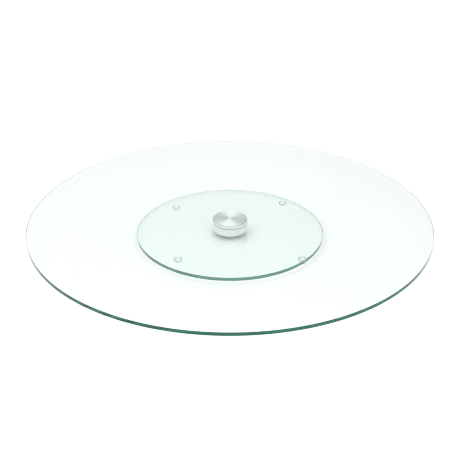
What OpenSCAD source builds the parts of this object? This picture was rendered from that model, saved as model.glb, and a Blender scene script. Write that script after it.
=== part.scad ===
// Glass turntable display stand: a round glass tray that spins on a small
// aluminium swivel bearing, glued to a smaller glass base on four clear feet.
// Z points up, z = 0 is the surface that the feet stand on, and the Z axis is
// the axis that the tray spins about. All sizes are in millimetres.

/* [Glass discs] */
// Diameter of the tray
tray_d = 600; // [400:10:800]
// Thickness of the tray glass
tray_t = 5; // [4:0.5:10]
// Diameter of the base
base_d = 280; // [276:2:340]
// Thickness of the base glass
base_t = 5; // [4:0.5:8]
// Width of the ground arris on each glass edge
arris = 0.3; // [0.2:0.1:1]

/* [Swivel bearing] */
// Outside diameter of the lower housing
housing_d = 51; // [46:0.5:64]
// Outside diameter of the cap, which turns with the tray
cap_d = 51.6; // [46:0.1:64]
// Height of the lower housing
housing_h = 13; // [13:0.5:18]
// Thickness of the cap's flange
cap_t = 5.4; // [4:0.2:8]
// Open gap between the cap and the housing
cap_gap = 0.6; // [0.5:0.1:2]
// Chamfer on the outer edges of the cap and on the housing's upper edge
edge_chamfer = 0.7; // [0.3:0.1:1]
// Chamfer on the housing's lower edge
lower_chamfer = 1.4; // [0.3:0.1:1.5]

/* [Ball race] */
// Bore of the inner race
race_bore_d = 20; // [20:0.5:20.5]
// Outside diameter of the outer race
race_outer_d = 32; // [32:0.5:33]
// Width of both races
race_w = 7; // [6.5:0.5:7]
// Diameter of each ball
ball_d = 3.5; // [3.3:0.1:3.5]
// Number of balls
ball_count = 12; // [9:1:12]

/* [Clamp screw and washer] */
// Thread diameter of the clamp screw
screw_d = 5; // [4:0.5:5]
// Length of the clamp screw, head included
screw_l = 11; // [8:0.5:12]
// Diameter of the screw's countersunk head
screw_head_d = 9.6; // [9:0.1:10]
// Outside diameter of the clamp washer
washer_d = 23; // [22.5:0.1:23.4]
// Thickness of the clamp washer
washer_t = 2.6; // [2.6:0.1:2.8]

/* [Feet and glue] */
// Diameter of each foot at the glass
foot_d = 12.7; // [10:0.1:13]
// Height of each foot with its adhesive disc
foot_h = 3.5; // [2:0.1:6]
// Diameter of each foot at the floor
foot_floor_d = 10.8; // [8:0.1:12]
// Thickness of the adhesive disc on each foot
foot_glue_t = 0.15; // [0.1:0.05:0.3]
// Thickness of the cured glue between glass and metal
bond_t = 0.2; // [0.1:0.05:0.3]

/* [Hidden] */
$fn = 96;

// Slack that keeps two mating surfaces from sharing volume.
fit_gap = 0.02;
// How far a cutting tool runs past the face that it cuts.
past = 1;

// The feet are stuck on by hand, so each has its own [radius, angle].
// The order is rear left, rear right, front left, front right.
foot_places = [[115.4, 137.8], [127.2, 48], [112.9, 228.9], [133.2, 320.8]];

// Levels, from the floor up.
base_z = foot_h;
lower_bond_z = base_z + base_t;
housing_z = lower_bond_z + bond_t;
cap_z = housing_z + housing_h + cap_gap;
upper_bond_z = cap_z + cap_t;
tray_z = upper_bond_z + bond_t;

// Ball race: the pitch circle lies midway between the bore and the outside.
ledge_t = washer_t + 1;
race_z = housing_z + ledge_t;
race_mid_z = race_z + race_w / 2;
race_top_z = race_z + race_w;
pitch_r = (race_bore_d + race_outer_d) / 4;
groove_r = 0.52 * ball_d;
shoulder_gap = 2;
inner_shoulder_r = pitch_r - shoulder_gap / 2;
outer_shoulder_r = pitch_r + shoulder_gap / 2;

// Shields sit in a rebate at each end of the outer race.
shield_t = 0.3;
rebate_depth = 0.8;
rebate_r = outer_shoulder_r + 0.6;

// Cage: two pressed ribbons that wrap the balls, riveted between them.
cage_t = 0.35;
cage_w = 1.6;
cage_slack = 0.05;
rivet_d = 0.7;
rivet_head_d = 1.1;
rivet_head_t = 0.2;

// Snap ring, in a groove above the outer race.
snap_t = 1.2;
snap_groove_depth = 1;
snap_lug_r = 1.8;
snap_half_gap = 14;

// The bore above the ledge lets the race in; the bore below it clears the washer.
ledge_bore_d = race_outer_d - 5;
boss_d = 2 * inner_shoulder_r;
spigot_short = 0.1;

// A washer-like ring with square edges.
module ring(outer_d, inner_d, h) {
    difference() {
        cylinder(d = outer_d, h = h);
        translate([0, 0, -past]) cylinder(d = inner_d, h = h + 2 * past);
    }
}

// A solid disc with a chamfer round its upper and its lower edge.
module chamfered_disc(d, h, upper_c, lower_c) {
    r = d / 2;
    rotate_extrude() polygon([
        [0, 0], [r - lower_c, 0], [r, lower_c], [r, h - upper_c], [r - upper_c, h], [0, h]
    ]);
}

// Places a child at every ball; half_step moves it to the gaps between them.
module around_pitch(half_step = 0) {
    for (i = [0 : ball_count - 1])
        rotate([0, 0, (i + half_step) * 360 / ball_count])
            translate([pitch_r, 0, race_mid_z]) children();
}

// A ring centred on the race's middle plane, on the pitch circle.
module pitch_band(w, h) {
    translate([0, 0, race_mid_z - h / 2])
        ring(2 * pitch_r + w, 2 * pitch_r - w, h);
}

// A round groove tool for one race; side is -1 for the inner, 1 for the outer.
module groove_tool(side) {
    bottom_r = pitch_r + side * (ball_d / 2 + fit_gap);
    translate([0, 0, race_mid_z]) rotate_extrude()
        translate([bottom_r - side * groove_r, 0]) circle(r = groove_r);
}

// ---- Pieces that spin with the tray ----

module tray_glass() {
    color([0.82, 0.95, 0.91, 0.35])
        translate([0, 0, tray_z]) chamfered_disc(tray_d, tray_t, arris, arris);
}

module upper_bond() {
    color([0.93, 0.97, 0.97, 0.5])
        translate([0, 0, upper_bond_z])
            cylinder(d = cap_d - 2 * edge_chamfer - 1, h = bond_t);
}

// Flange under the tray, a boss that stands on the inner race, and a spigot
// through it that is tapped for the clamp screw.
module bearing_cap() {
    spigot_z = race_z + spigot_short;
    tapped_depth = screw_l - washer_t;
    color([0.80, 0.83, 0.84]) difference() {
        union() {
            translate([0, 0, cap_z])
                chamfered_disc(cap_d, cap_t, edge_chamfer, edge_chamfer);
            translate([0, 0, race_top_z])
                cylinder(d = boss_d, h = cap_z - race_top_z + edge_chamfer);
            translate([0, 0, spigot_z])
                cylinder(d = race_bore_d - 2 * fit_gap, h = race_top_z - spigot_z + past);
        }
        translate([0, 0, spigot_z - past])
            cylinder(d = screw_d + 2 * fit_gap, h = tapped_depth + 2 * past);
    }
}

module inner_race() {
    color([0.62, 0.64, 0.66]) difference() {
        translate([0, 0, race_z]) ring(2 * inner_shoulder_r, race_bore_d, race_w);
        groove_tool(-1);
    }
}

// Countersunk washer that pulls the inner race up against the cap's boss.
module clamp_washer() {
    sink_h = (screw_head_d - screw_d) / 2;
    bottom_z = race_z - washer_t;
    color([0.72, 0.73, 0.74]) difference() {
        translate([0, 0, bottom_z]) cylinder(d = washer_d, h = washer_t);
        translate([0, 0, bottom_z - past])
            cylinder(d = screw_d + 4 * fit_gap, h = washer_t + 2 * past);
        translate([0, 0, bottom_z])
            cylinder(
                d1 = screw_head_d + 4 * fit_gap,
                d2 = screw_d + 4 * fit_gap,
                h = sink_h
            );
        translate([0, 0, bottom_z - past])
            cylinder(d = screw_head_d + 4 * fit_gap, h = past);
    }
}

// Countersunk screw with a hexagon socket, driven up from below.
module clamp_screw() {
    head_h = (screw_head_d - screw_d) / 2;
    tip_chamfer = 0.6;
    socket_across_flats = 3;
    socket_depth = 2;
    color([0.55, 0.57, 0.60]) translate([0, 0, race_z - washer_t]) difference() {
        rotate_extrude() polygon([
            [0, 0],
            [screw_head_d / 2, 0],
            [screw_d / 2, head_h],
            [screw_d / 2, screw_l - tip_chamfer],
            [screw_d / 2 - tip_chamfer, screw_l],
            [0, screw_l]
        ]);
        translate([0, 0, -past])
            cylinder(d = socket_across_flats / cos(30), h = socket_depth + past, $fn = 6);
    }
}

// ---- Balls and cage, which roll round at under half the tray's speed ----

module bearing_balls() {
    color([0.75, 0.77, 0.79]) around_pitch() sphere(d = ball_d);
}

// A round bar through every ball, pointing out from the axis.
module radial_bars(r) {
    bar_l = 2 * cage_w;
    around_pitch() translate([-bar_l / 2, 0, 0]) rotate([0, 90, 0]) cylinder(r = r, h = bar_l);
}

// One pressed ribbon; side is 1 for the upper half and -1 for the lower.
module cage_half(side) {
    pocket_r = ball_d / 2 + cage_slack;
    shell_r = pocket_r + cage_t;
    half_h = 2 * shell_r;
    color([0.70, 0.62, 0.45]) difference() {
        union() {
            translate([0, 0, side * cage_t / 2]) pitch_band(cage_w, cage_t);
            intersection() {
                radial_bars(shell_r);
                translate([0, 0, side * half_h / 2]) pitch_band(cage_w, half_h);
            }
        }
        radial_bars(pocket_r);
        around_pitch(0.5)
            translate([0, 0, -past])
                cylinder(d = rivet_d + 2 * fit_gap, h = 2 * past, $fn = 24);
    }
}

module cage_upper() {
    cage_half(1);
}

module cage_lower() {
    cage_half(-1);
}

module cage_rivets() {
    color([0.66, 0.60, 0.48]) around_pitch(0.5) {
        translate([0, 0, -cage_t]) cylinder(d = rivet_d, h = 2 * cage_t, $fn = 24);
        for (z = [cage_t, -cage_t - rivet_head_t])
            translate([0, 0, z]) cylinder(d = rivet_head_d, h = rivet_head_t, $fn = 24);
    }
}

// ---- Pieces that stay still ----

module outer_race() {
    color([0.62, 0.64, 0.66]) difference() {
        translate([0, 0, race_z])
            ring(race_outer_d - 2 * fit_gap, 2 * outer_shoulder_r, race_w);
        groove_tool(1);
        for (z = [race_z - past, race_top_z - rebate_depth])
            translate([0, 0, z]) cylinder(r = rebate_r, h = rebate_depth + past);
    }
}

// A thin dished disc would touch the inner race, so the shield stops short of it.
module shield(z) {
    color([0.68, 0.69, 0.71]) translate([0, 0, z])
        ring(2 * (rebate_r - fit_gap), 2 * inner_shoulder_r + 0.3, shield_t);
}

module upper_shield() {
    shield(race_top_z - rebate_depth);
}

module lower_shield() {
    shield(race_z + rebate_depth - shield_t);
}

// Internal snap ring with two plier lugs beside its gap.
module snap_ring() {
    ring_r = race_outer_d / 2 + snap_groove_depth - 2 * fit_gap;
    ring_w = 2.2;
    wedge = 2 * ring_r * [cos(snap_half_gap), sin(snap_half_gap)];
    color([0.35, 0.36, 0.38]) translate([0, 0, race_top_z]) linear_extrude(snap_t) difference() {
        union() {
            difference() {
                circle(r = ring_r);
                circle(r = ring_r - ring_w);
                polygon([[0, 0], [wedge.x, -wedge.y], wedge]);
            }
            snap_lugs(snap_lug_r);
        }
        snap_lugs(snap_lug_r / 2.4);
    }
}

// A circle at each of the snap ring's two lugs.
module snap_lugs(r) {
    lug_at_r = race_outer_d / 2 - snap_lug_r + 2 * fit_gap;
    for (a = [-snap_half_gap, snap_half_gap])
        rotate(a) translate([lug_at_r, 0]) circle(r = r);
}

// Turned housing: the race stands on a ledge, under the snap ring's groove.
module bearing_housing() {
    color([0.80, 0.83, 0.84]) difference() {
        translate([0, 0, housing_z])
            chamfered_disc(housing_d, housing_h, edge_chamfer, lower_chamfer);
        translate([0, 0, housing_z - past])
            cylinder(d = ledge_bore_d, h = housing_h + 2 * past);
        translate([0, 0, race_z])
            cylinder(d = race_outer_d, h = housing_h);
        translate([0, 0, race_top_z])
            cylinder(d = race_outer_d + 2 * snap_groove_depth, h = snap_t + fit_gap);
    }
}

module lower_bond() {
    color([0.93, 0.97, 0.97, 0.5])
        translate([0, 0, lower_bond_z])
            ring(housing_d - 2 * lower_chamfer - 1, ledge_bore_d + 1, bond_t);
}

module base_glass() {
    color([0.82, 0.95, 0.91, 0.35])
        translate([0, 0, base_z]) chamfered_disc(base_d, base_t, arris, arris);
}

// Moves a child to one of the hand-placed feet.
module at_foot(i) {
    rotate([0, 0, foot_places[i][1]])
        translate([foot_places[i][0], 0, 0]) children();
}

// Tapered clear pad with a rounded lower edge.
module foot(i) {
    pad_h = foot_h - foot_glue_t;
    edge_r = 0.8;
    top_r = foot_d / 2;
    floor_r = foot_floor_d / 2;
    color([0.92, 0.95, 0.95, 0.45]) at_foot(i) rotate_extrude() union() {
        polygon([
            [0, 0], [floor_r - edge_r, 0], [floor_r, edge_r], [top_r, pad_h], [0, pad_h]
        ]);
        translate([floor_r - edge_r, edge_r]) circle(r = edge_r);
    }
}

module foot_rear_left() {
    foot(0);
}

module foot_rear_right() {
    foot(1);
}

module foot_front_left() {
    foot(2);
}

module foot_front_right() {
    foot(3);
}

module foot_glue() {
    color([0.95, 0.97, 0.97, 0.5])
        for (i = [0 : len(foot_places) - 1])
            at_foot(i) translate([0, 0, foot_h - foot_glue_t])
                cylinder(d = foot_d - 0.6, h = foot_glue_t);
}

tray_glass();
upper_bond();
bearing_cap();
inner_race();
clamp_washer();
clamp_screw();
bearing_balls();
cage_upper();
cage_lower();
cage_rivets();
outer_race();
upper_shield();
lower_shield();
snap_ring();
bearing_housing();
lower_bond();
base_glass();
foot_glue();
foot_rear_left();
foot_rear_right();
foot_front_left();
foot_front_right();
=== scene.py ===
"""Looks of the glass turntable display stand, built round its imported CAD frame. All sizes are in metres."""
import math

import bmesh
import bpy
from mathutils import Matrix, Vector
from mathutils.geometry import delaunay_2d_cdt


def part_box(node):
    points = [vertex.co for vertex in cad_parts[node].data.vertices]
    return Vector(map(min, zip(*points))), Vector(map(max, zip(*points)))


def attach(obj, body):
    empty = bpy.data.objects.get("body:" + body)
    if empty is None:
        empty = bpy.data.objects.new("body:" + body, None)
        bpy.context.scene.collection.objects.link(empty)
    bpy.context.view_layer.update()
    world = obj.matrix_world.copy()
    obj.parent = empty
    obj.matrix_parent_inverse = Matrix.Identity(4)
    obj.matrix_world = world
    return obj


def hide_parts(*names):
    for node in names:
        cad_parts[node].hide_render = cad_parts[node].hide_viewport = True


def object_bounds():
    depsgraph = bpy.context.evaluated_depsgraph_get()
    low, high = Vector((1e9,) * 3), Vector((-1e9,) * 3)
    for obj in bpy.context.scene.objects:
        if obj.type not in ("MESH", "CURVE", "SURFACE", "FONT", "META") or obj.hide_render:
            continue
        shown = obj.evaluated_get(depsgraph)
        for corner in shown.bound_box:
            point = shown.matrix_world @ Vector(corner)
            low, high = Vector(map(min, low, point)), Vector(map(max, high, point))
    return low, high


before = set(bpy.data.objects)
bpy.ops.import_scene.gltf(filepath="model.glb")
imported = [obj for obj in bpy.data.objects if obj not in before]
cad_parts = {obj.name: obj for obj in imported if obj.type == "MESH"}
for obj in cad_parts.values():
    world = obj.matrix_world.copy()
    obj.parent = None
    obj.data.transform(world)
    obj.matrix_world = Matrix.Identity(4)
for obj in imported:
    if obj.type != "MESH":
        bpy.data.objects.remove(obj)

cad_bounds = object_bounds()

# ---- Driving values of this script ----

RIM_SIDES = 512  # segments round a glass disc
TURNED_SIDES = 256  # segments round a turned part
PAD_SIDES = 96  # segments round a foot
HAIR = 0.00001  # gap that keeps two touching surfaces apart, and the tolerance for a level or a radius
UPRIGHT = 0.1  # a face whose normal rises or falls less than this is a wall
FLAT = 0.97  # a face whose normal rises or falls more than this is a flat
# Edges that are sharper than this aren't smoothed over.
GLASS_CREASE = math.radians(25)
TURNED_CREASE = math.radians(32)

EDGE_BREAK = 0.00015  # rounding on the corners of turned parts
TURNING_PITCH = 0.00025  # from one ring left by the lathe tool to the next
CAP_STEP = 0.93  # radius of the shallow step on the cap's face, as a share of the cap's
CAP_STEP_DEPTH = 0.0001
CENTRE_MARK = 0.00045  # radius and depth of the mark that the lathe centre leaves on the cap
FOOT_TAPER = 0.85  # radius of a foot at the floor, as a share of its largest
FOOT_FLOOR_ROUND = 0.0012  # rounding on a foot's floor edge
FOOT_TOP_ROUND = 0.0003  # rounding on a foot's upper edge
GLUE_INSET = 0.0003  # how far a foot's adhesive disc stops inside the foot
GLUE_CREEP = 0.004  # how far a glue film's edge wanders, as a share of its radius
GLUE_WAVES = (3, 7)  # two counts of waves round a glue film's edge, mixed so that it looks uneven
GLUE_SHIFT = 900  # radians between the waves of two films that lie a metre apart in x

QUARTER_TURN = 0.25  # as a shader counts turns

# Rings of points that fill a flat round face, as shares of the radius of the face or of a patch in it.
FIRST_RING = 0.965  # first ring inside the rim
PATCH_RING = 0.85  # first ring inside a patch
PATCH_MARGIN = 1.15  # the face's own rings stay outside this

# Light that the glass takes off in a metre, in red, green and blue.
GLASS_ABSORPTION = (2.0, 0.8, 1.0)
# What is left of light that crosses a disc through its faces, its rim or its arrises, in the same colours.
TRAY_FACE = (0.945, 0.985, 0.976)
BASE_FACE = (0.945, 0.995, 0.970)
TRAY_RIM = (0.021, 0.275, 0.205)
BASE_RIM = (0.035, 0.30, 0.205)
TRAY_ARRIS = (0.24, 0.35, 0.33)
BASE_ARRIS = (0.12, 0.19, 0.175)
GLASS_IOR = 1.52
URETHANE_IOR = 1.49
# Light that enters a rim stays caught between the faces: little of it gets on to what lies below the disc.
RIM_CATCH = (0.15, 0.35, 0.30)


def shared_radius(node):
    """Radius of a round node on the turning axis, no larger than the CAD mesh anywhere."""
    low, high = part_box(node)
    return min(-low.x, -low.y, high.x, high.y)


def levels(node):
    """Lowest and highest z of a node."""
    low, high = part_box(node)
    return low.z, high.z


def points_near(node, level):
    """The CAD node's points at a level."""
    return [v.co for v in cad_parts[node].data.vertices if abs(v.co.z - level) < HAIR]


def widest(node, level):
    """Largest distance from the turning axis of a CAD node's points at a level."""
    return max(p.xy.length for p in points_near(node, level))


def narrowest(node, level):
    """Smallest distance from the turning axis of a CAD node's points at a level."""
    return min(p.xy.length for p in points_near(node, level))


def all_levels(node):
    """Every z at which a CAD node has points."""
    return {v.co.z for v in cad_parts[node].data.vertices}


def levels_inside(node, radius):
    """Lowest and highest z of a CAD node's points no further than a radius from the turning axis."""
    heights = [v.co.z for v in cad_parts[node].data.vertices if v.co.xy.length < radius + HAIR]
    return min(heights), max(heights)


# ---- Mesh helpers ----


def rounded(corners, steps=4):
    """An outline from (radius, z, rounding) corners, with an arc in place of each rounded corner.

    A point on the straight stretch either side of an arc keeps the flat beyond it shaded flat.
    """
    outline = []
    for i, (r, z, rounding) in enumerate(corners):
        here = Vector((r, z))
        if rounding == 0:
            outline.append(here)
            continue
        back = (Vector(corners[i - 1][:2]) - here).normalized()
        ahead = (Vector(corners[(i + 1) % len(corners)][:2]) - here).normalized()
        half = back.angle(ahead) / 2
        centre = here + (back + ahead).normalized() * rounding / math.sin(half)
        first = here + back * rounding / math.tan(half) - centre
        last = here + ahead * rounding / math.tan(half) - centre
        spokes = [first.slerp(last, step / steps) for step in range(steps + 1)]
        arc = [centre + spoke * rounding for spoke in spokes]
        outline += [arc[0] + back * rounding / 2, *arc, arc[-1] + ahead * rounding / 2]
    return outline


def lathe(mesh, outline, sides, closed=False):
    """Turns an outline of (radius, z) points about the z axis. A point on the axis becomes one vertex."""
    rings = []
    for r, z in outline:
        if r < HAIR:
            rings.append([mesh.verts.new((0, 0, z))])
            continue
        turns = [2 * math.pi * i / sides for i in range(sides)]
        rings.append([mesh.verts.new((r * math.cos(a), r * math.sin(a), z)) for a in turns])
    pairs = list(zip(rings, rings[1:]))
    if closed:
        pairs.append((rings[-1], rings[0]))
    for ring, following in pairs:
        for i in range(sides):
            j = (i + 1) % sides
            corners = [ring[i % len(ring)], ring[j % len(ring)]]
            corners += [following[j % len(following)], following[i % len(following)]]
            corners = list(dict.fromkeys(corners))
            if len(corners) > 2:
                mesh.faces.new(corners)
    return rings


def graded_circle(centre, radius, count, shrink=0.82, thinning=0.8, fewest=12):
    """Points on a circle and on smaller circles inside it, with fewer points as they shrink."""
    points = []
    while count >= fewest:
        turns = [2 * math.pi * (i + 0.5) / count for i in range(count)]
        points += [(centre[0] + radius * math.cos(a), centre[1] + radius * math.sin(a)) for a in turns]
        count = int(count * shrink * thinning)
        radius *= shrink
    return points


def fill_disc(mesh, rim, up, patches=(), patch_slot=0):
    """Fills a flat round face inside a ring of vertices.

    Faces inside a patch, which is (x, y, radius), take patch_slot.
    """
    z = rim[0].co.z
    points = [v.co.xy for v in rim]
    sides = len(rim)
    edges = [(i, (i + 1) % sides) for i in range(sides)]
    inner = graded_circle((0, 0), points[0].length * FIRST_RING, sides // 2)
    for x, y, radius in patches:
        start = len(points)
        turns = [2 * math.pi * i / PAD_SIDES for i in range(PAD_SIDES)]
        points += [Vector((x + radius * math.cos(a), y + radius * math.sin(a))) for a in turns]
        edges += [(start + i, start + (i + 1) % PAD_SIDES) for i in range(PAD_SIDES)]
        inner = [p for p in inner if math.dist(p, (x, y)) > radius * PATCH_MARGIN]
        inner += graded_circle((x, y), radius * PATCH_RING, PAD_SIDES // 2)
    points += [Vector(p) for p in inner]
    flat, _, triangles, sources, _, _ = delaunay_2d_cdt(points, edges, [], 0, 1e-9)
    made = []
    for place, origin in zip(flat, sources):
        on_rim = [i for i in origin if i < sides]
        made.append(rim[on_rim[0]] if on_rim else mesh.verts.new((place.x, place.y, z)))
    for corners in triangles:
        face = mesh.faces.new([made[i] for i in corners])
        face.normal_update()
        if (face.normal.z > 0) != up:
            face.normal_flip()
        centre = face.calc_center_median()
        if any(math.dist(centre.xy, (x, y)) < radius for x, y, radius in patches):
            face.material_index = patch_slot


def new_object(name, data):
    """An object in the scene, made of some data."""
    made = bpy.data.objects.new(name, data)
    bpy.context.scene.collection.objects.link(made)
    return made


def finish_piece(name, mesh, materials, body, node, crease=TURNED_CREASE):
    """Makes a piece of a bmesh: it stands for a CAD node, rides on a body and is smooth between creases."""
    data = bpy.data.meshes.new(name)
    mesh.to_mesh(data)
    mesh.free()
    data.polygons.foreach_set("use_smooth", [True] * len(data.polygons))
    data.set_sharp_from_angle(angle=crease)
    for material in materials:
        data.materials.append(material)
    piece = new_object(name, data)
    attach(piece, body)
    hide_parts(node)


# ---- Node helpers ----


def new_material(name):
    """An empty node material, and its node tree."""
    material = bpy.data.materials.new(name)
    material.use_nodes = True
    material.node_tree.nodes.clear()
    return material, material.node_tree


def add(tree, kind, inputs=None, **settings):
    """Adds a shader node. inputs maps a socket's name or number to a value or to a socket to link from."""
    made = tree.nodes.new("ShaderNode" + kind)
    for key, value in settings.items():
        setattr(made, key, value)
    for key, value in (inputs or {}).items():
        if isinstance(value, bpy.types.NodeSocket):
            tree.links.new(value, made.inputs[key])
        else:
            made.inputs[key].default_value = value
    return made


def maths(tree, operation, *values):
    """The result of a Math node on numbers or sockets."""
    return add(tree, "Math", dict(enumerate(values)), operation=operation).outputs[0]


def position(tree):
    """The place of the shaded point in the piece's own frame."""
    return add(tree, "TexCoord").outputs["Object"]


def scaled_position(tree, scale):
    """That place times a vector, to stretch a pattern."""
    return add(tree, "VectorMath", {0: position(tree), 1: scale}, operation="MULTIPLY").outputs[0]


def axis_distance(tree):
    """Distance of the shaded point from the turning axis."""
    flat = scaled_position(tree, (1, 1, 0))
    return add(tree, "VectorMath", {0: flat}, operation="LENGTH").outputs["Value"]


def noise(tree, scale, place=None, detail=3.0, roughness=0.55):
    """A noise pattern from 0 to 1.

    scale is about its number of lumps in one unit of place, which is a metre unless place is stretched.
    """
    place = place or position(tree)
    inputs = {"Vector": place, "Scale": scale, "Detail": detail, "Roughness": roughness}
    return add(tree, "TexNoise", inputs).outputs["Fac"]


def spread(tree, value, low, high, from_low=0.3, from_high=0.7):
    """Maps a pattern's usual range, or another one, onto low to high."""
    inputs = {
        "Value": value,
        "From Min": from_low,
        "From Max": from_high,
        "To Min": low,
        "To Max": high,
    }
    return add(tree, "MapRange", inputs).outputs["Result"]


def tinted(tree, factor, first, second):
    """A colour between two colours."""
    mix = add(tree, "Mix", {"Factor": factor}, data_type="RGBA")
    mix.inputs[6].default_value = (*first, 1)
    mix.inputs[7].default_value = (*second, 1)
    return mix.outputs[2]


def bump(tree, height, distance, strength=1.0):
    """A normal from a height pattern; distance is the height in metres of a full step."""
    inputs = {"Height": height, "Distance": distance, "Strength": strength}
    return add(tree, "Bump", inputs).outputs["Normal"]


def output(tree, surface, volume=None):
    """Wires the material output."""
    inputs = {"Surface": surface}
    if volume is not None:
        inputs["Volume"] = volume
    add(tree, "OutputMaterial", inputs)


# ---- Clear materials ----


def lit_through(tree, clear, inward=(1, 1, 1)):
    """Lets light from lamps, and light that a matt or brushed surface gathers, pass a clear surface unbent.

    inward is the share that gets through from outside.
    """
    path = add(tree, "LightPath").outputs
    rough = maths(tree, "SUBTRACT", path["Is Glossy Ray"], path["Is Singular Ray"])
    gathered = maths(tree, "MAXIMUM", path["Is Diffuse Ray"], rough)
    through = maths(tree, "MAXIMUM", path["Is Shadow Ray"], gathered)
    leaving = add(tree, "NewGeometry").outputs["Backfacing"]
    unbent = add(tree, "BsdfTransparent", {"Color": tinted(tree, leaving, inward, (1, 1, 1))}).outputs[0]
    return add(tree, "MixShader", {0: through, 1: clear, 2: unbent}).outputs[0]


def absorption(tree):
    """The green tint of float glass, by the depth of glass that light has crossed."""
    strongest = max(GLASS_ABSORPTION)
    colour = [1 - taken / strongest for taken in GLASS_ABSORPTION]
    return add(tree, "VolumeAbsorption", {"Color": (*colour, 1), "Density": strongest}).outputs[0]


def clear_solid(tree, colour, ior, normal):
    """A smooth clear surface that bends light; light that crosses a disc or a pad takes on its colour."""
    inputs = {
        "Base Color": colour,
        "Roughness": 0.0,
        "IOR": ior,
        "Transmission Weight": 1.0,
        "Normal": normal,
    }
    return add(tree, "BsdfPrincipled", inputs).outputs[0]


def float_glass(name, tint):
    """Clean float glass: a faint drawn waviness, and thin smears in its tint."""
    material, tree = new_material(name)
    smears = noise(tree, 9, scaled_position(tree, (1, 2.2, 1)), detail=5)
    waves = noise(tree, 14, scaled_position(tree, (1, 0.25, 1)), detail=1)
    colour = tinted(tree, smears, [0.994 * c for c in tint], tint)
    glass = clear_solid(tree, colour, GLASS_IOR, bump(tree, waves, 0.0000015))
    output(tree, lit_through(tree, glass), absorption(tree))
    return material


def polished_edge(name, tint):
    """A polished rim or a ground arris: the same glass with fine lines left along the edge by the wheel."""
    material, tree = new_material(name)
    lines = noise(tree, 60, scaled_position(tree, (0.4, 0.4, 60)), detail=4)
    chatter = noise(tree, 90, detail=2)
    height = maths(tree, "ADD", lines, maths(tree, "MULTIPLY", chatter, 0.5))
    colour = tinted(tree, chatter, [0.98 * c for c in tint], tint)
    glass = clear_solid(tree, colour, GLASS_IOR, bump(tree, height, 0.000002))
    output(tree, lit_through(tree, glass, RIM_CATCH), absorption(tree))
    return material


def contact_patch(name):
    """Where two clear materials are stuck together: light crosses it unbent."""
    material, tree = new_material(name)
    output(tree, add(tree, "BsdfTransparent").outputs[0])
    return material


def clear_urethane(name):
    """Soft clear rubber: an uneven cast skin."""
    material, tree = new_material(name)
    skin = noise(tree, 700, detail=2)
    colour = tinted(tree, noise(tree, 180), (0.70, 0.76, 0.74), (0.80, 0.85, 0.835))
    rubber = clear_solid(tree, colour, URETHANE_IOR, bump(tree, skin, 0.00002))
    output(tree, lit_through(tree, rubber))
    return material


def cured_glue(name):
    """Clear glue film: nearly unseen, with a faint milky mottle."""
    material, tree = new_material(name)
    mottle = spread(tree, noise(tree, 260, detail=4), 0.0, 0.06, from_low=0.45, from_high=0.8)
    milk = add(tree, "BsdfPrincipled", {"Base Color": (0.9, 0.93, 0.92, 1), "Roughness": 0.35}).outputs[0]
    clear = add(tree, "BsdfTransparent").outputs[0]
    output(tree, add(tree, "MixShader", {0: mottle, 1: clear, 2: milk}).outputs[0])
    return material


# ---- Metals ----


def around_axis(tree):
    """A tangent that runs round the turning axis, as turning marks do."""
    return add(tree, "Tangent", direction_type="RADIAL", axis="Z").outputs[0]


def turning_marks(tree, pitch):
    """Fine rings and bands left by a lathe tool: a pattern of distance from the axis and of height."""
    reach = maths(tree, "DIVIDE", axis_distance(tree), pitch)
    height = maths(tree, "DIVIDE", add(tree, "SeparateXYZ", {0: position(tree)}).outputs["Z"], pitch)
    place = add(tree, "CombineXYZ", {0: reach, 1: height}).outputs[0]
    return noise(tree, 1.0, place, detail=6, roughness=0.7)


def metal_surface(tree, colour, roughness, anisotropic, normal):
    """A metal whose highlights stretch across the marks that run round the turning axis.

    anisotropic is how much they stretch, from 0 to 1.
    """
    inputs = {
        "Base Color": colour,
        "Metallic": 1.0,
        "Roughness": roughness,
        "Anisotropic": anisotropic,
        "Anisotropic Rotation": QUARTER_TURN,
        "Tangent": around_axis(tree),
        "Normal": normal,
    }
    return add(tree, "BsdfPrincipled", inputs).outputs[0]


def turned_aluminium(name, dark, light):
    """Natural aluminium from the lathe, with cloudy tone and fine rings."""
    material, tree = new_material(name)
    marks = turning_marks(tree, TURNING_PITCH)
    clouds = noise(tree, 90, detail=3)
    colour = tinted(tree, clouds, dark, light)
    roughness = spread(tree, marks, 0.37, 0.49)
    output(tree, metal_surface(tree, colour, roughness, 0.80, bump(tree, marks, 0.000006)))
    return material


def metal(name, dark, light, roughness, grain, grain_height, anisotropic=0.0):
    """A machined or pressed metal with a mottled tone and a fine grain.

    roughness is a lowest and a highest value, and grain is a noise scale.
    """
    material, tree = new_material(name)
    tone = noise(tree, 400, detail=4)
    fine = noise(tree, grain, detail=3)
    colour = tinted(tree, tone, dark, light)
    shine = spread(tree, fine, *roughness)
    output(tree, metal_surface(tree, colour, shine, anisotropic, bump(tree, fine, grain_height)))
    return material


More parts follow.
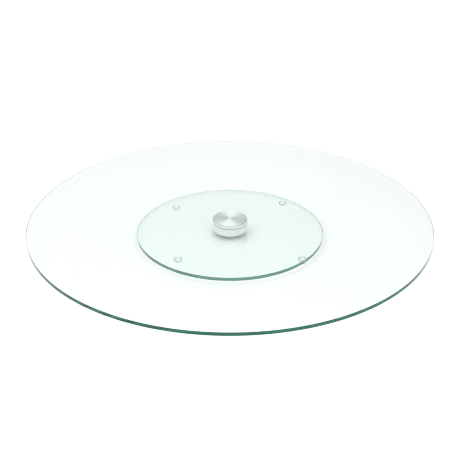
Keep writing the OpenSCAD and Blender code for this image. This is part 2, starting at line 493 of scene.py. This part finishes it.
def finish_inner_parts():
    """Gives each CAD node that stays shown its own metal."""
    steel = metal(
        "ground_steel",
        dark=(0.50, 0.52, 0.54),
        light=(0.62, 0.64, 0.66),
        roughness=(0.16, 0.3),
        grain=3000,
        grain_height=0.000002,
        anisotropic=0.5,
    )
    chrome = metal(
        "ball_chrome",
        dark=(0.66, 0.68, 0.70),
        light=(0.74, 0.76, 0.78),
        roughness=(0.03, 0.08),
        grain=2500,
        grain_height=0.0000003,
    )
    brass = metal(
        "brass_sheet",
        dark=(0.62, 0.47, 0.22),
        light=(0.76, 0.60, 0.32),
        roughness=(0.24, 0.4),
        grain=2500,
        grain_height=0.000003,
    )
    spring = metal(
        "black_spring_steel",
        dark=(0.10, 0.105, 0.115),
        light=(0.20, 0.205, 0.22),
        roughness=(0.35, 0.55),
        grain=3500,
        grain_height=0.000004,
    )
    zinc = metal(
        "zinc_plate",
        dark=(0.50, 0.53, 0.58),
        light=(0.68, 0.69, 0.71),
        roughness=(0.22, 0.4),
        grain=1800,
        grain_height=0.000004,
    )
    finishes = {
        steel: ["inner_race", "outer_race", "upper_shield", "lower_shield"],
        chrome: ["bearing_balls"],
        brass: ["cage_upper", "cage_lower", "cage_rivets"],
        spring: ["snap_ring"],
        zinc: ["clamp_washer", "clamp_screw"],
    }
    for material, nodes in finishes.items():
        for node in nodes:
            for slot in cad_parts[node].material_slots:
                slot.material = material


# ---- Pieces ----

FEET = ["foot_rear_left", "foot_rear_right", "foot_front_left", "foot_front_right"]


def foot_place(node):
    """Centre and largest radius of a foot."""
    low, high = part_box(node)
    radius = min(high.x - low.x, high.y - low.y) / 2
    return (low.x + high.x) / 2, (low.y + high.y) / 2, radius


def glass_disc(name, node, body, materials, patches=()):
    """A glass disc with a flat polished rim between two crisp ground arrises.

    The materials are those of the faces, the rim, the arrises and the patches.
    """
    radius = shared_radius(node)
    bottom, top = levels(node)
    flat = widest(node, top)
    arris = radius - flat
    outline = [(flat, bottom), (radius, bottom + arris), (radius, top - arris), (flat, top)]
    mesh = bmesh.new()
    rings = lathe(mesh, outline, RIM_SIDES)
    for made in mesh.faces:
        made.normal_update()
        made.material_index = 1 if abs(made.normal.z) < UPRIGHT else 2
    fill_disc(mesh, rings[0], up=False, patches=patches, patch_slot=3)
    fill_disc(mesh, rings[-1], up=True)
    finish_piece(name, mesh, materials, body, node, GLASS_CREASE)


def mark_cuts(mesh, gap, face=math.inf):
    """Puts chamfers, and flats at the level of the gap between cap and housing, in the second slot, whose
    darker aluminium is painted shade for the dark edge lines and the groove.

    Flats that look up, at the level of the face or no more than an edge break below it, go in the third.
    """
    for made in mesh.faces:
        made.normal_update()
        height = made.calc_center_median().z
        if height > face - EDGE_BREAK and made.normal.z > FLAT:
            made.material_index = 2
        elif UPRIGHT < abs(made.normal.z) < FLAT or abs(height - gap) < HAIR:
            made.material_index = 1


def bearing_cap(materials):
    """Flange, boss and tapped spigot, with a centre mark and a shallow step on the face.

    The materials are those of the sides, the cuts, which are darkened as painted shade, and the face.
    """
    node = "bearing_cap"
    radius = shared_radius(node)
    bottom, top = levels(node)
    seat = levels("inner_race")[1]
    flange = min(z for z in all_levels(node) if z > levels("bearing_housing")[1])
    boss = widest(node, seat)
    spigot = widest(node, bottom)
    bore = narrowest(node, bottom)
    bore_top = levels_inside(node, bore)[1]
    chamfer = radius - widest(node, top)
    corners = [
        (0, bore_top, 0),
        (bore, bore_top, 0),
        (bore, bottom, 0),
        (spigot, bottom, EDGE_BREAK),
        (spigot, seat, 0),
        (boss, seat, EDGE_BREAK),
        (boss, flange, 0),
        (radius - chamfer, flange, EDGE_BREAK),
        (radius, flange + chamfer, EDGE_BREAK),
        (radius, top - chamfer, EDGE_BREAK),
        (radius - chamfer, top, EDGE_BREAK),
        (CAP_STEP * radius, top, 0),
        (CAP_STEP * radius - CAP_STEP_DEPTH, top - CAP_STEP_DEPTH, 0),
        (CENTRE_MARK, top - CAP_STEP_DEPTH, 0),
        (0, top - CAP_STEP_DEPTH - CENTRE_MARK, 0),
    ]
    mesh = bmesh.new()
    lathe(mesh, rounded(corners), TURNED_SIDES)
    mark_cuts(mesh, flange, top)
    finish_piece("swivel_cap", mesh, materials, "tray", node)


def bearing_housing(materials):
    """The lower half, bored for the race, with a ledge below it and a snap ring groove above it.

    The materials are those of the sides, the cuts, darkened as painted shade, and the chamfer just above the
    glue, darkened further as a painted contact shadow.
    """
    node = "bearing_housing"
    radius = shared_radius(node)
    bottom, top = levels(node)
    ledge, race_top = levels("outer_race")
    clear_bore = narrowest(node, bottom)
    race_bore = narrowest(node, top)
    groove = widest(node, race_top)
    groove_top = min(z for z in all_levels(node) if z > race_top + HAIR)
    upper = radius - widest(node, top)
    lower = radius - widest(node, bottom)
    corners = [
        (clear_bore, bottom, 0),
        (radius - lower, bottom, EDGE_BREAK),
        (radius, bottom + lower, EDGE_BREAK),
        (radius, top - upper, EDGE_BREAK),
        (radius - upper, top, EDGE_BREAK),
        (race_bore, top, EDGE_BREAK),
        (race_bore, groove_top, 0),
        (groove, groove_top, 0),
        (groove, race_top, 0),
        (race_bore, race_top, 0),
        (race_bore, ledge, 0),
        (clear_bore, ledge, EDGE_BREAK),
    ]
    mesh = bmesh.new()
    lathe(mesh, rounded(corners), TURNED_SIDES, closed=True)
    mark_cuts(mesh, top)
    # The chamfer and flat just above the glue take the third slot, darkened as a painted contact shadow.
    for made in mesh.faces:
        if made.calc_center_median().z < bottom + lower:
            made.material_index = 2
    finish_piece("swivel_housing", mesh, materials, "base", node)


def foot(node, rubber, patch):
    """A tapered clear pad with a rounded floor edge, stuck under the glass inside its contact patch."""
    x, y, radius = foot_place(node)
    low, high = levels(node)
    contact = radius - GLUE_INSET
    corners = [
        (0, low, 0),
        (radius * FOOT_TAPER, low, FOOT_FLOOR_ROUND),
        (radius, high, FOOT_TOP_ROUND),
        (contact, high, 0),
        (contact / 2, high, 0),
        (0, high, 0),
    ]
    mesh = bmesh.new()
    lathe(mesh, rounded(corners, steps=6), PAD_SIDES)
    for made in mesh.faces:
        centre = made.calc_center_median()
        stuck = centre.z > high - HAIR and centre.xy.length < contact
        made.material_index = 1 if stuck else 0
    bmesh.ops.translate(mesh, verts=mesh.verts, vec=(x, y, 0))
    finish_piece(node + "_pad", mesh, [rubber, patch], "base", node)


def glue_film(name, node, body, places, sides, glue, hole=0.0):
    """A thin film between two parts, a hair thinner than its gap, with an uneven edge.

    It has a disc at each place, which is (x, y, radius), with a hole of a given radius through it.
    """
    low, high = levels(node)
    bottom = low + HAIR
    top = high - HAIR
    slow, quick = GLUE_WAVES
    mesh = bmesh.new()
    for x, y, radius in places:
        outline = [(hole, bottom), (radius, bottom), (radius, top), (hole, top)]
        rings = lathe(mesh, outline, sides, closed=hole > 0)
        for vertex in rings[1] + rings[2]:
            angle = math.atan2(vertex.co.y, vertex.co.x)
            wander = math.sin(slow * angle + x * GLUE_SHIFT) * math.cos(quick * angle)
            vertex.co.xy *= 1 - GLUE_CREEP * (1 + wander)
        bmesh.ops.translate(mesh, verts=sum(rings, []), vec=(x, y, 0))
    finish_piece(name, mesh, [glue], body, node)


def build_object():
    """Every Blender piece, and the metals of the CAD nodes that stay."""
    tray_face = float_glass("float_glass_tray", TRAY_FACE)
    base_face = float_glass("float_glass_base", BASE_FACE)
    tray_rim = polished_edge("polished_tray_rim", TRAY_RIM)
    base_rim = polished_edge("polished_base_rim", BASE_RIM)
    tray_arris = polished_edge("ground_tray_arris", TRAY_ARRIS)
    base_arris = polished_edge("ground_base_arris", BASE_ARRIS)
    patch = contact_patch("glued_contact")
    rubber = clear_urethane("clear_urethane")
    glue = cured_glue("clear_glue_film")
    sides = turned_aluminium("turned_aluminium", (0.80, 0.845, 0.82), (0.85, 0.89, 0.865))
    # Chamfers and the flats either side of the gap: the same aluminium darkened, as painted shade for the
    # dark edge lines and the groove.
    shaded_cut = turned_aluminium("chamfer_painted_shade_aluminium", (0.46, 0.49, 0.475), (0.54, 0.57, 0.555))
    face = turned_aluminium("faced_aluminium", (0.77, 0.84, 0.83), (0.81, 0.88, 0.87))
    # The housing's lowest chamfer: the same aluminium darkened further, as a painted contact shadow where the
    # housing meets the base glass.
    contact_shade = turned_aluminium("contact_shadow_aluminium", (0.22, 0.30, 0.27), (0.34, 0.42, 0.39))
    pads = [foot_place(node) for node in FEET]
    stuck = [(x, y, radius - GLUE_INSET) for x, y, radius in pads]
    glass_disc("tray_disc", "tray_glass", "tray", [tray_face, tray_rim, tray_arris])
    glass_disc("base_disc", "base_glass", "base", [base_face, base_rim, base_arris, patch], stuck)
    bearing_cap([sides, shaded_cut, face])
    bearing_housing([sides, shaded_cut, contact_shade])
    for node in FEET:
        foot(node, rubber, patch)
    glue_film("foot_glue_films", "foot_glue", "base", stuck, PAD_SIDES, glue)
    upper = [(0, 0, shared_radius("upper_bond"))]
    glue_film("upper_glue_film", "upper_bond", "tray", upper, TURNED_SIDES, glue)
    lower = [(0, 0, shared_radius("lower_bond"))]
    hole = narrowest("lower_bond", levels("lower_bond")[0])
    glue_film("lower_glue_film", "lower_bond", "base", lower, TURNED_SIDES, glue, hole)
    finish_inner_parts()


# ---- Studio ----

FLOOR_REACH = 8.0  # from the middle of the floor to its sides
FLOOR_DROP = 0.00005  # how far the floor lies under the feet
# Brightness of the room, low down behind and in front of the stand, and straight above it.
BACK_LIGHT = 0.35
FRONT_LIGHT = 0.85
OVERHEAD_LIGHT = 1.2
RIGHT_BACK = 0.60  # share of that brightness behind the stand on the right
LAMP_LIGHT = 1.07  # in watts a square metre
LAMP_WIDTH = math.radians(64)
LAMP_TO_BACK = math.radians(3)  # how far the lamp leans back from straight above
LAMP_TO_LEFT = math.radians(6)
CAMERA_ELEVATION = math.radians(28.27)
CAMERA_DISTANCE = 1.2866  # from the point it aims at
CAMERA_LENS = 67.16  # in millimetres
AIM_FORWARD = 0.01076  # how far in front of the object's middle the camera aims
GUIDED_BOUNCES = 72  # enough for light that is guided from one side of the tray to the other
THROUGH_BOUNCES = 24  # enough for light that passes through both discs and the feet
UNBENT_BOUNCES = 32  # enough for light that crosses clear surfaces unbent
PIXEL_BLUR = 1.1  # width of the pixel filter, in pixels


def studio_floor():
    """A plain white floor that fills the view, and that a camera under it looks through."""
    mesh = bmesh.new()
    bmesh.ops.create_grid(mesh, x_segments=2, y_segments=2, size=FLOOR_REACH)
    bmesh.ops.translate(mesh, verts=mesh.verts, vec=(0, 0, cad_bounds[0][2] - FLOOR_DROP))
    data = bpy.data.meshes.new("studio_floor")
    mesh.to_mesh(data)
    mesh.free()
    material, tree = new_material("studio_floor")
    grain = noise(tree, 30, detail=2)
    colour = tinted(tree, grain, (0.875, 0.875, 0.875), (0.885, 0.885, 0.885))
    white = add(tree, "BsdfDiffuse", {"Color": colour}).outputs[0]
    below = add(tree, "NewGeometry").outputs["Backfacing"]
    hidden = maths(tree, "MULTIPLY", below, add(tree, "LightPath").outputs["Is Camera Ray"])
    clear = add(tree, "BsdfTransparent").outputs[0]
    output(tree, add(tree, "MixShader", {0: hidden, 1: white, 2: clear}).outputs[0])
    data.materials.append(material)
    new_object("studio_floor", data)


def studio_light():
    """A white room that is brightest overhead and dimmest behind, with one wide soft lamp above the stand.

    The lamp lights matt and brushed surfaces, and no clear surface mirrors it.
    """
    world = bpy.data.worlds.new("studio")
    world.use_nodes = True
    tree = world.node_tree
    tree.nodes.clear()
    direction = add(tree, "SeparateXYZ", {0: add(tree, "TexCoord").outputs["Generated"]}).outputs
    horizon = spread(tree, direction["Y"], FRONT_LIGHT, BACK_LIGHT, from_low=-1.0, from_high=1.0)
    rise = spread(tree, direction["Z"], horizon, OVERHEAD_LIGHT, from_low=0.0, from_high=1.0)
    behind = spread(tree, direction["Y"], 0.0, 1.0, from_low=0.0, from_high=0.5)
    right_behind = maths(tree, "MULTIPLY", direction["X"], behind)
    side = spread(tree, right_behind, 1.0, RIGHT_BACK, from_low=0.05, from_high=0.3)
    room = maths(tree, "MULTIPLY", rise, side)
    seen = add(tree, "LightPath").outputs["Is Camera Ray"]
    light = add(tree, "Background", {"Color": (1, 1, 1, 1), "Strength": room}).outputs[0]
    backdrop = add(tree, "Background", {"Color": (1, 1, 1, 1), "Strength": 1.0}).outputs[0]
    surface = add(tree, "MixShader", {0: seen, 1: light, 2: backdrop}).outputs[0]
    add(tree, "OutputWorld", {"Surface": surface})
    bpy.context.scene.world = world
    lamp = bpy.data.lights.new("overhead_softbox", "SUN")
    lamp.energy = LAMP_LIGHT
    lamp.angle = LAMP_WIDTH
    lamp.cycles.use_multiple_importance_sampling = False
    new_object("overhead_softbox", lamp).rotation_euler = (-LAMP_TO_BACK, -LAMP_TO_LEFT, 0)


def studio_camera():
    """The camera, aimed at a point a little in front of the object's middle."""
    low, high = Vector(cad_bounds[0]), Vector(cad_bounds[1])
    aim = (low + high) / 2 - Vector((0, AIM_FORWARD, 0))
    away = Vector((0, -math.cos(CAMERA_ELEVATION), math.sin(CAMERA_ELEVATION)))
    data = bpy.data.cameras.new("camera")
    data.lens = CAMERA_LENS
    camera = new_object("camera", data)
    camera.location = aim + away * CAMERA_DISTANCE
    camera.rotation_euler = (math.pi / 2 - CAMERA_ELEVATION, 0, 0)
    bpy.context.scene.camera = camera


def light_paths():
    """Light paths long enough for the glass, a crisp pixel filter and plain tones."""
    cycles = bpy.context.scene.cycles
    cycles.max_bounces = GUIDED_BOUNCES
    cycles.glossy_bounces = GUIDED_BOUNCES
    cycles.transmission_bounces = THROUGH_BOUNCES
    cycles.transparent_max_bounces = UNBENT_BOUNCES
    cycles.filter_width = PIXEL_BLUR
    bpy.context.scene.view_settings.view_transform = "Standard"


build_object()
studio_floor()
studio_light()
studio_camera()
light_paths()
